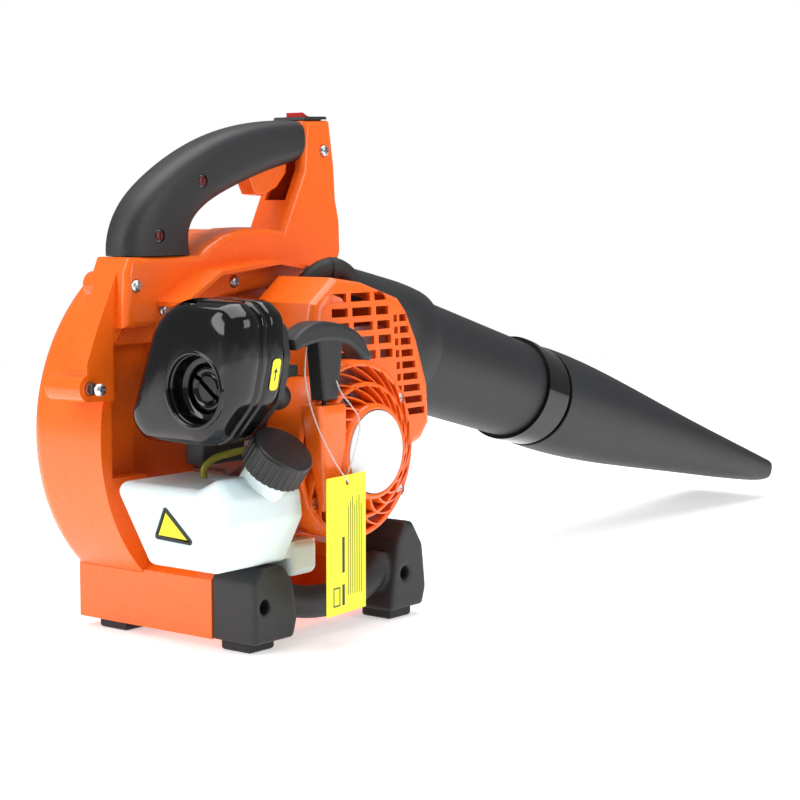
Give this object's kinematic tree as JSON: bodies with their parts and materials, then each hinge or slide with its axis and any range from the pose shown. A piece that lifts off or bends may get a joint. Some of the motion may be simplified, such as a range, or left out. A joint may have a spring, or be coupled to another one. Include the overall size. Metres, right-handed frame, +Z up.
{
  "type": "leaf blower",
  "caption": "Hand-held petrol leaf blower: snail fan case, top handle with trigger, recoil-start engine, fuel tank, side stand and a round blow tube with a flat nozzle.",
  "frame": {"origin": "middle of the machine's outline, on the floor under the feet", "axes": "+X along the blow direction, +Y to the machine's left, +Z up"},
  "size_m": [0.9155, 0.2229, 0.364],
  "materials": {
    "orange_shell": "glossy injection moulding",
    "dark_grip": "satin moulding",
    "black_gloss": "polished black moulding",
    "red_rocker": "glossy",
    "white_tank": "milky polyethylene",
    "rubber_black": "matt rubber",
    "fuel_hose": "clear olive hose",
    "steel": "machined steel",
    "cast_alloy": "cast and machined",
    "foam": "open-cell foam",
    "cord_black": "braided cord",
    "label_white": "plain printed disc, no lettering",
    "tag_yellow": "plain card",
    "clear_string": "clear nylon loop"
  },
  "bodies": {
    "housing": {"left_housing": "orange_shell", "right_housing": "orange_shell", "base_stand": "orange_shell", "engine_cover": "orange_shell", "starter_cover": "orange_shell", "grip_left": "dark_grip", "grip_right": "dark_grip", "switch_plate": "dark_grip", "blow_tube": "dark_grip", "side_bracket": "dark_grip", "filter_base": "dark_grip", "carb_insulator": "dark_grip", "tube_collar": "black_gloss", "fuel_tank": "white_tank", "rubber_feet": "rubber_black", "spark_plug_boot": "rubber_black", "fuel_line": "fuel_hose", "return_line": "fuel_hose", "case_screws": "steel", "starter_screws": "steel", "guard_pin": "steel", "crank_pin": "steel", "connecting_rod": "steel", "wrist_pin": "steel", "main_bearings": "steel", "spark_plug": "steel", "recoil_spring": "steel", "trigger_pin": "steel", "trigger_spring": "steel", "muffler": "steel", "starter_back": "steel", "ignition_coil": "steel", "crankcase_left": "cast_alloy", "crankcase_right": "cast_alloy", "cylinder": "cast_alloy", "piston": "cast_alloy", "carburettor": "cast_alloy", "fuel_filter": "cast_alloy", "filter_foam": "foam", "starter_rope": "cord_black", "throttle_cable": "cord_black", "label_disc": "label_white"},
    "rotor": {"crankshaft": "steel", "impeller": "dark_grip", "shaft_nuts": "steel", "flywheel": "cast_alloy"},
    "pulley": {"starter_pulley": "dark_grip"},
    "pull_handle": {"starter_handle": "dark_grip", "tag_string": "clear_string"},
    "throttle_trigger": {"trigger": "orange_shell"},
    "switch_rocker": {"stop_switch": "red_rocker"},
    "choke": {"choke_lever": "dark_grip"},
    "primer": {"primer_bulb": "dark_grip"},
    "air_filter_lid": {"filter_cover": "black_gloss"},
    "lid_knob": {"filter_knob": "black_gloss"},
    "inlet_guard": {"intake_guard": "dark_grip"},
    "guard_latch": {"guard_knob": "dark_grip"},
    "tank_cap": {"fuel_cap": "black_gloss"},
    "blow_nozzle": {"nozzle": "dark_grip"},
    "tag": {"hang_tag": "tag_yellow"}
  },
  "joints": [
    {"name": "crank_spin", "type": "hinge", "parent": "housing", "child": "rotor", "pos_m": [-0.299, 0.006, 0.129], "axis": [0, 1, 0], "continuous": true},
    {"name": "starter_pull", "type": "slide", "parent": "housing", "child": "pull_handle", "axis": [0, 0, 1], "range_m": [0, 0.5], "stiffness_N_per_m": 20, "springref_m": -0.15, "deforming": ["starter_rope"]},
    {"name": "pulley_spin", "type": "hinge", "parent": "housing", "child": "pulley", "pos_m": [-0.299, -0.071, 0.129], "axis": [0, 1, 0], "range_deg": [0, 1620]},
    {"name": "trigger_squeeze", "type": "hinge", "parent": "housing", "child": "throttle_trigger", "pos_m": [-0.253, 0.03, 0.336], "axis": [0, 1, 0], "range_deg": [0, 11], "stiffness_Nm_per_rad": 0.5, "springref_deg": -8.59, "deforming": ["trigger_spring", "throttle_cable"]},
    {"name": "switch_rock", "type": "hinge", "parent": "housing", "child": "switch_rocker", "pos_m": [-0.2274, 0.03, 0.354], "axis": [0, 1, 0], "range_deg": [-6, 6]},
    {"name": "choke_tilt", "type": "hinge", "parent": "housing", "child": "choke", "pos_m": [-0.369, -0.056, 0.188], "axis": [-1, 0, 0], "range_deg": [0, 25]},
    {"name": "primer_press", "type": "slide", "parent": "housing", "child": "primer", "axis": [0, 1, 0], "range_m": [0, 0.003], "stiffness_N_per_m": 800},
    {"name": "filter_lid_off", "type": "slide", "parent": "housing", "child": "air_filter_lid", "axis": [-1, 0, 0], "range_m": [0, 0.06]},
    {"name": "lid_knob_turn", "type": "hinge", "parent": "air_filter_lid", "child": "lid_knob", "pos_m": [-0.399, -0.06, 0.179], "axis": [-1, 0, 0], "range_deg": [0, 1080]},
    {"name": "guard_swing", "type": "hinge", "parent": "housing", "child": "inlet_guard", "pos_m": [-0.371, 0.1065, 0.129], "axis": [0, 0, 1], "range_deg": [0, 110]},
    {"name": "guard_knob_turn", "type": "hinge", "parent": "inlet_guard", "child": "guard_latch", "pos_m": [-0.224, 0.106, 0.129], "axis": [0, 1, 0], "range_deg": [0, 90]},
    {"name": "cap_turn", "type": "hinge", "parent": "housing", "child": "tank_cap", "pos_m": [-0.388, -0.095, 0.14], "axis": [0, -0.6157, 0.788], "range_deg": [0, 540]},
    {"name": "nozzle_twist", "type": "hinge", "parent": "housing", "child": "blow_nozzle", "pos_m": [0.091, 0.04, 0.12861], "axis": [0.9641, 0, -0.2656], "range_deg": [0, 12]},
    {"name": "tag_swing", "type": "hinge", "parent": "pull_handle", "child": "tag", "pos_m": [-0.339, -0.107, 0.113], "axis": [-0.9945, -0.1045, 0], "range_deg": [0, 50], "deforming": ["tag_string"]}
  ],
  "couplings": [
    {"joint": "pulley_spin", "follows": "starter_pull", "rad_per_m": 55.556}
  ]
}
